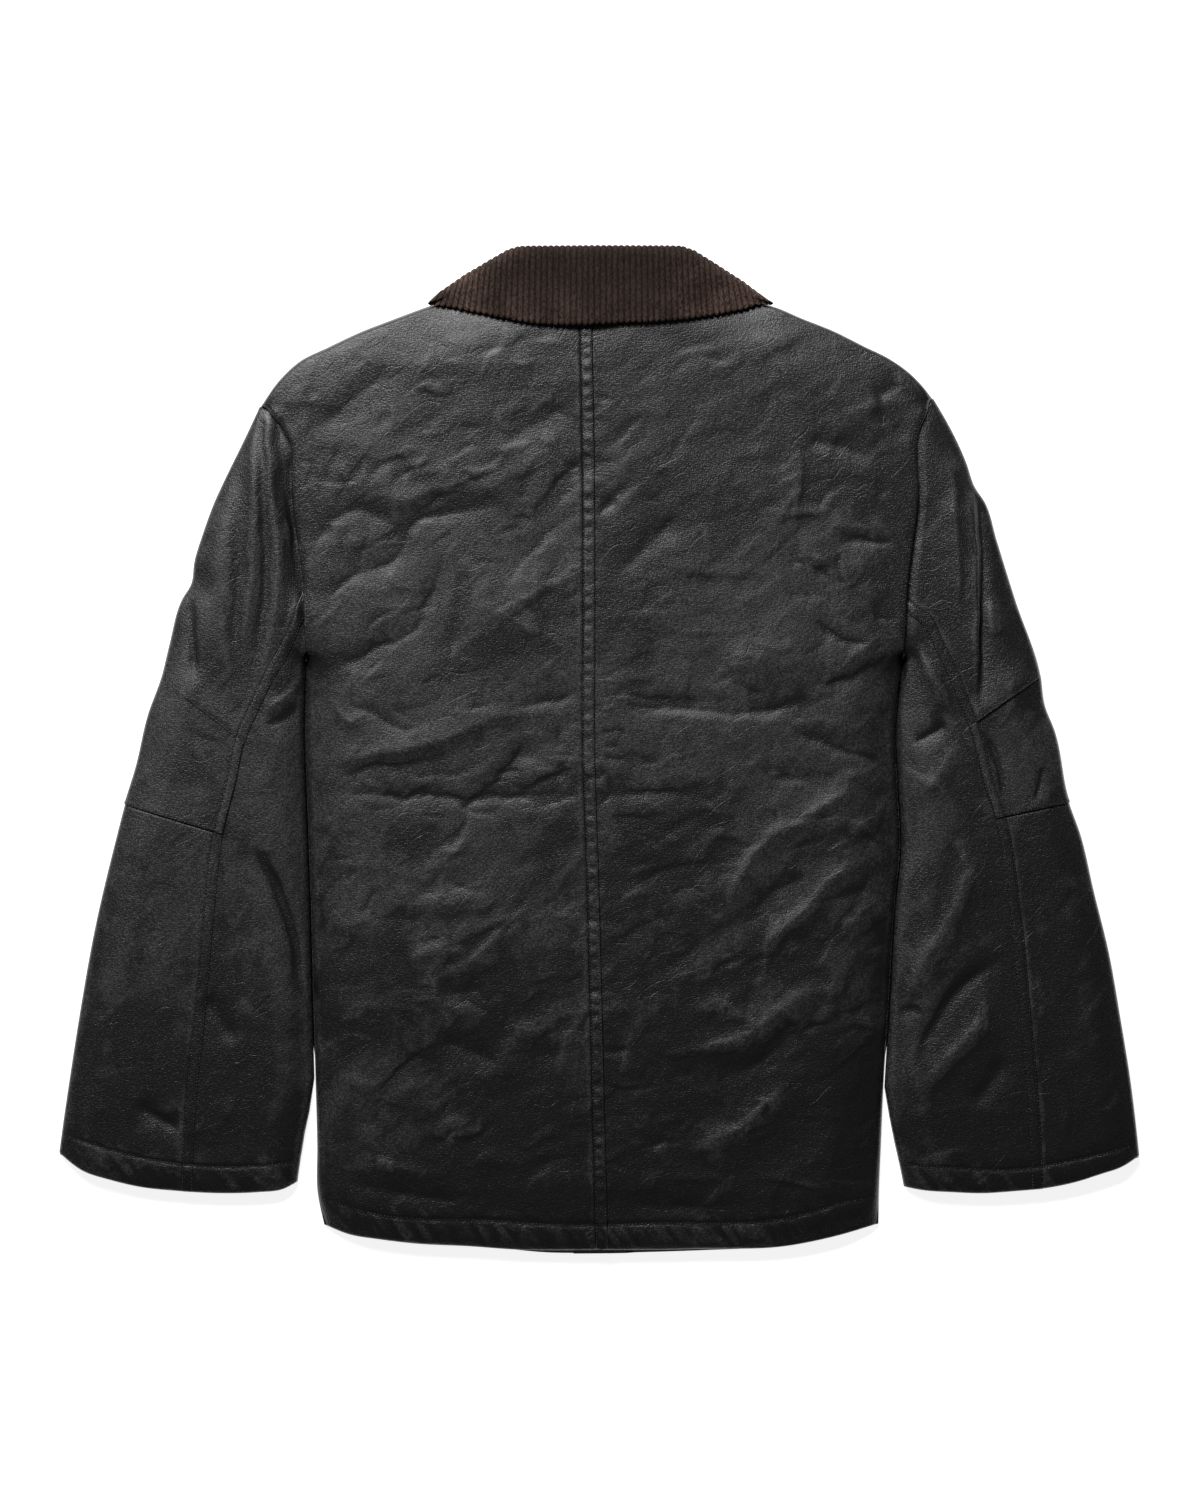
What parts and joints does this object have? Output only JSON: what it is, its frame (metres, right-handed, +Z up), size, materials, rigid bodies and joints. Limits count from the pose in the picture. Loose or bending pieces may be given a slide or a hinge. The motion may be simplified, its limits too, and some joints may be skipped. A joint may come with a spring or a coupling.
{
  "type": "waxed cotton jacket",
  "caption": "Hip-length waxed cotton jacket laid flat on its front, with a ribbed corduroy collar, elbow patches and a felled seam down the back.",
  "frame": {"origin": "on the surface that the jacket lies on, below the middle of its bounding box", "axes": "+X across the jacket towards its right cuff, +Y from the hem to the collar, +Z up from the surface, out of the jacket's back"},
  "size_m": [0.8408, 0.7836, 0.0283],
  "materials": {
    "waxed_cotton": "near-black waxed cotton, mottled where the wax has worn, with a dull sheen on its folds",
    "corduroy": "dark brown wide-wale corduroy, matt pile"
  },
  "bodies": {
    "root": {"back_left": "waxed_cotton", "back_right": "waxed_cotton", "back_centre_fell": "waxed_cotton", "front_left": "waxed_cotton", "front_right": "waxed_cotton", "sleeve_left_top": "waxed_cotton", "sleeve_left_under": "waxed_cotton", "sleeve_right_top": "waxed_cotton", "sleeve_right_under": "waxed_cotton", "sleeve_seam_left_upper": "waxed_cotton", "sleeve_seam_left_lower": "waxed_cotton", "sleeve_seam_right_upper": "waxed_cotton", "sleeve_seam_right_lower": "waxed_cotton", "elbow_patch_left": "waxed_cotton", "elbow_patch_right": "waxed_cotton", "collar_fall": "corduroy", "collar_leaf_left": "corduroy", "collar_leaf_right": "corduroy", "collar_stand": "waxed_cotton"}
  },
  "joints": []
}
